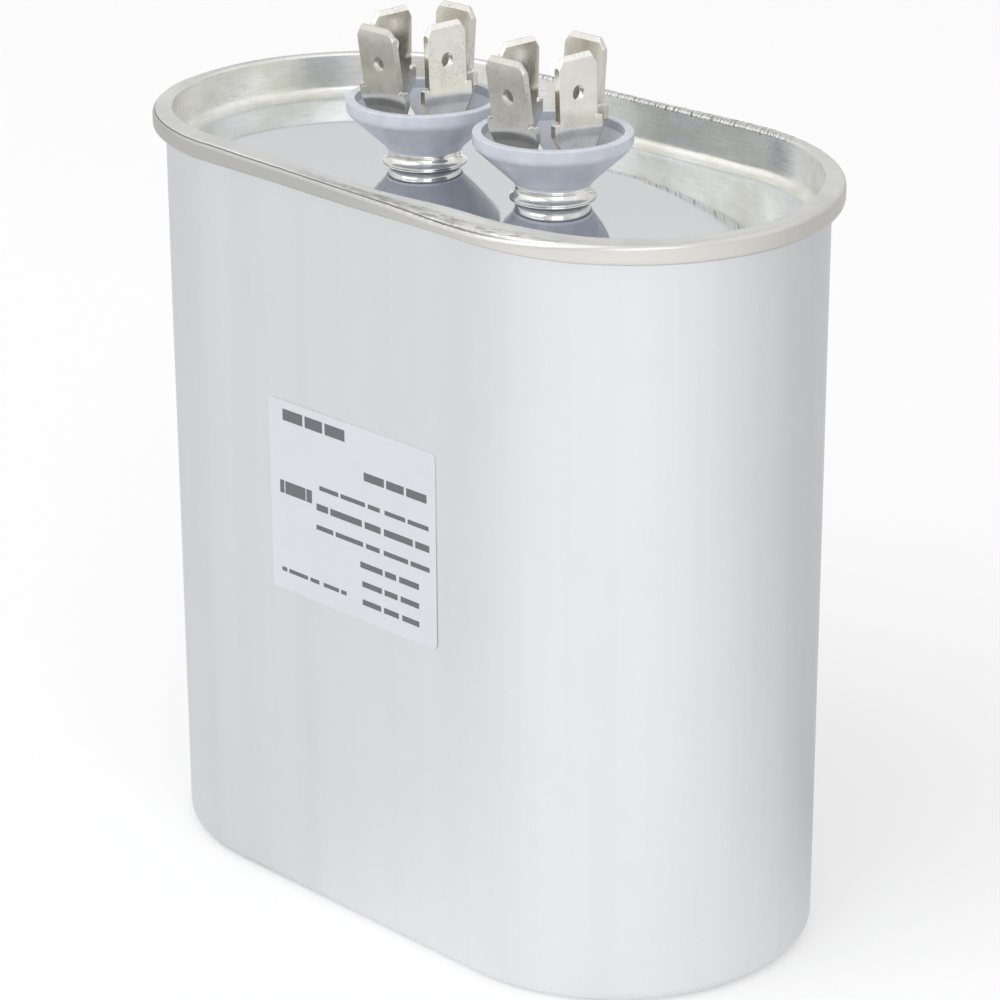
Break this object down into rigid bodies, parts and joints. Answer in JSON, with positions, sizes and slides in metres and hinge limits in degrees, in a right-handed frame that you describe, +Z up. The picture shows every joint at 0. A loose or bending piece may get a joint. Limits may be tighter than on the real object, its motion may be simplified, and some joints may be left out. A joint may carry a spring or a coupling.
{
  "type": "motor run capacitor",
  "caption": "Oval motor run capacitor: an aluminium can with a seamed, recessed lid and two insulated cup terminals that carry push-on blades.",
  "frame": {"origin": "middle of the can's flat base, at the bottom centre of the part's box", "axes": "+Z up out of the lid, +X along the oval's long side, -Y out of the labelled face"},
  "size_m": [0.098, 0.0532, 0.1115],
  "materials": {
    "can_aluminium": "satin",
    "tinplate": "polished tinplate, mirror-like panel",
    "tinned_steel": "polished",
    "blade_plate": "satin tin plate",
    "blade_plate_bright": "satin tin plate",
    "insulator": "semi-gloss",
    "label_film": "matte film",
    "rubber": "matte",
    "phenolic": "matte",
    "brass": "satin",
    "plastic_tray": "matte",
    "film": "gloss",
    "zinc_spray": "rough sprayed zinc",
    "paper_wrap": "matte",
    "lead_wire": "tinned"
  },
  "bodies": {
    "root": {"can": "can_aluminium", "lid": "tinplate", "seam_compound": "rubber", "label": "label_film", "interrupter_plate": "phenolic", "bottom_spacer": "plastic_tray", "winding_core": "plastic_tray", "film_winding": "film", "end_spray_bottom": "zinc_spray", "end_spray_top": "zinc_spray", "insulating_wrap": "paper_wrap", "lead_short": "lead_wire", "lead_long": "lead_wire", "terminal_ferrule_left": "tinned_steel", "terminal_ferrule_right": "tinned_steel", "insulator_cup_left": "insulator", "insulator_cup_right": "insulator", "outer_blade_strip_left": "blade_plate", "outer_blade_strip_right": "blade_plate", "inner_blade_strip_left": "blade_plate_bright", "inner_blade_strip_right": "blade_plate_bright", "terminal_rivet_left": "tinned_steel", "terminal_rivet_right": "tinned_steel", "sealing_washer_left": "rubber", "sealing_washer_right": "rubber", "insulating_bush_left": "phenolic", "insulating_bush_right": "phenolic", "rivet_washer_left": "brass", "rivet_washer_right": "brass", "contact_tag_left": "brass", "contact_tag_right": "brass"}
  },
  "joints": []
}
